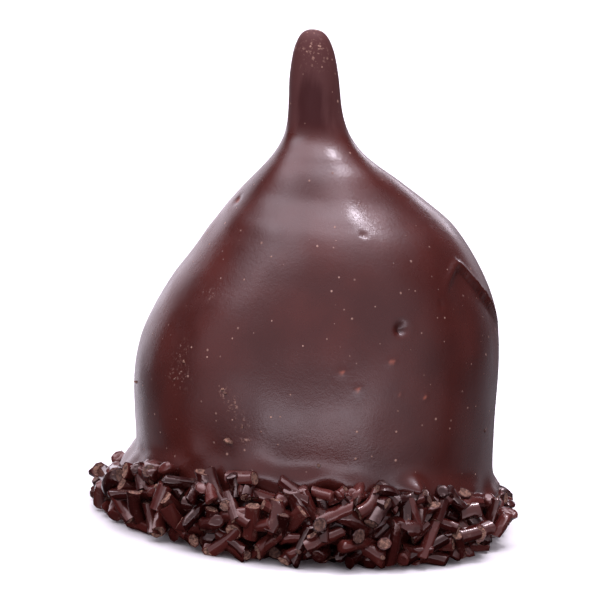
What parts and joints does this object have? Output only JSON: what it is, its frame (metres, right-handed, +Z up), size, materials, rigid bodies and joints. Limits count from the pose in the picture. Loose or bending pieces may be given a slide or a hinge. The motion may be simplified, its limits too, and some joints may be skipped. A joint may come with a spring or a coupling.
{
  "type": "chocolate-covered cherry",
  "caption": "Stemmed cherry dipped in dark chocolate, standing on a foot of chocolate vermicelli; a sweet for a plate, a box or a cake.",
  "frame": {"origin": "the middle of the foot, on the surface that the sweet stands on", "axes": "+Z up along the coated stem, -Y towards the front, +X towards the swollen side of the shoulder"},
  "size_m": [0.0334, 0.0336, 0.0382],
  "materials": {
    "dark_chocolate": "semi-gloss dark chocolate, redder where it is thin, with glossy dark vermicelli broken to a matte lighter brown at their ends"
  },
  "bodies": {
    "root": {"chocolate_cherry": "dark_chocolate"}
  },
  "joints": []
}
